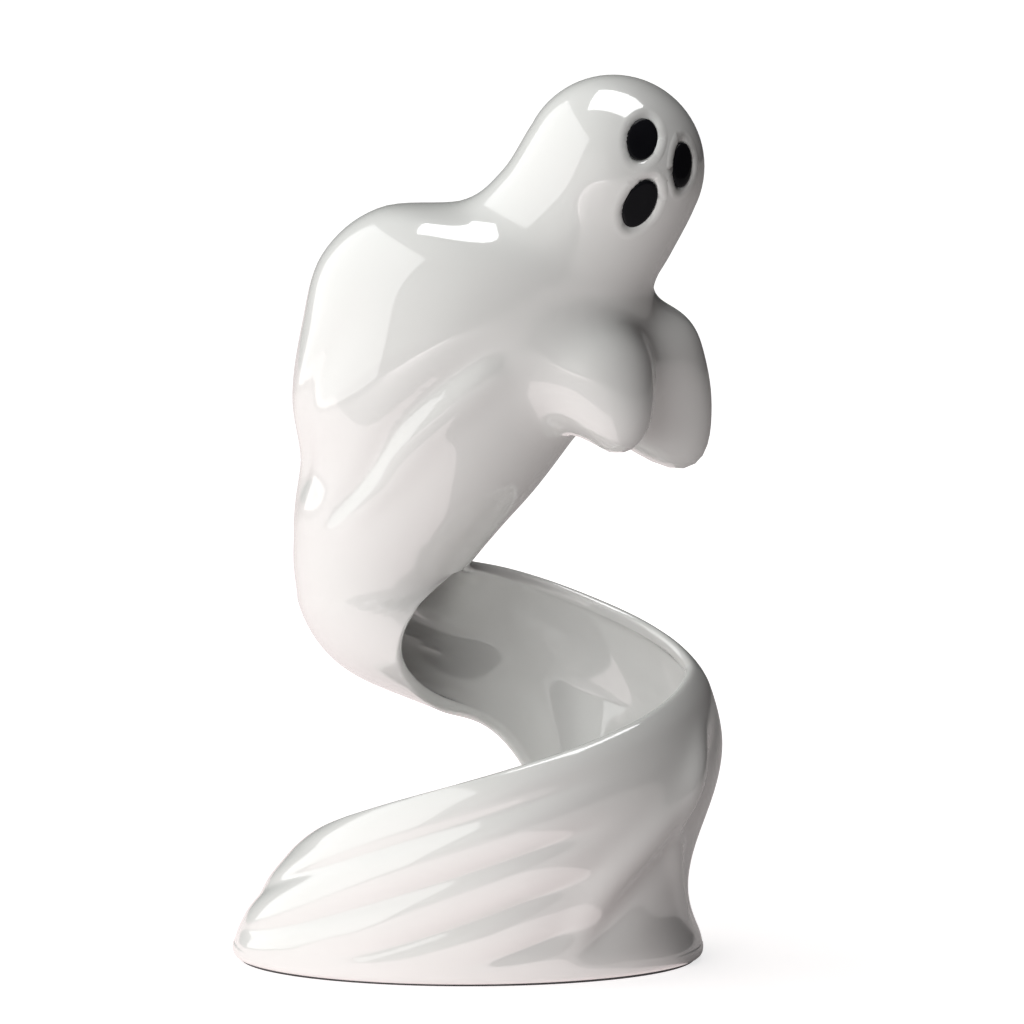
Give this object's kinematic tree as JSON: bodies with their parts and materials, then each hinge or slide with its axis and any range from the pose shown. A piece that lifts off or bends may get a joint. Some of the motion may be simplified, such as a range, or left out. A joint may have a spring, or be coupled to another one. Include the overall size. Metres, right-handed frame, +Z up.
{
  "type": "ceramic ghost figure",
  "caption": "Glossy white ceramic sheet ghost that leans forward with drooping arms and rises out of an open swirl of draped cloth on an oval foot.",
  "frame": {"origin": "on the table, at the underside of the felt, under the upright axis that the cloth swirls about", "axes": "+X is the onlooker's right, which the ghost leans towards; +Y goes away from the onlooker; +Z is up"},
  "size_m": [0.1393, 0.1101, 0.2501],
  "materials": {
    "white_glaze": "glossy clear glaze over a white body",
    "black_glaze": "glossy black glaze",
    "felt": "matt pressed felt"
  },
  "bodies": {
    "root": {"head": "white_glaze", "torso": "white_glaze", "right_arm": "white_glaze", "left_arm": "white_glaze", "swirl": "white_glaze", "skirt": "white_glaze", "base_floor": "white_glaze", "base_felt": "felt", "right_eye": "black_glaze", "left_eye": "black_glaze", "mouth": "black_glaze"}
  },
  "joints": []
}
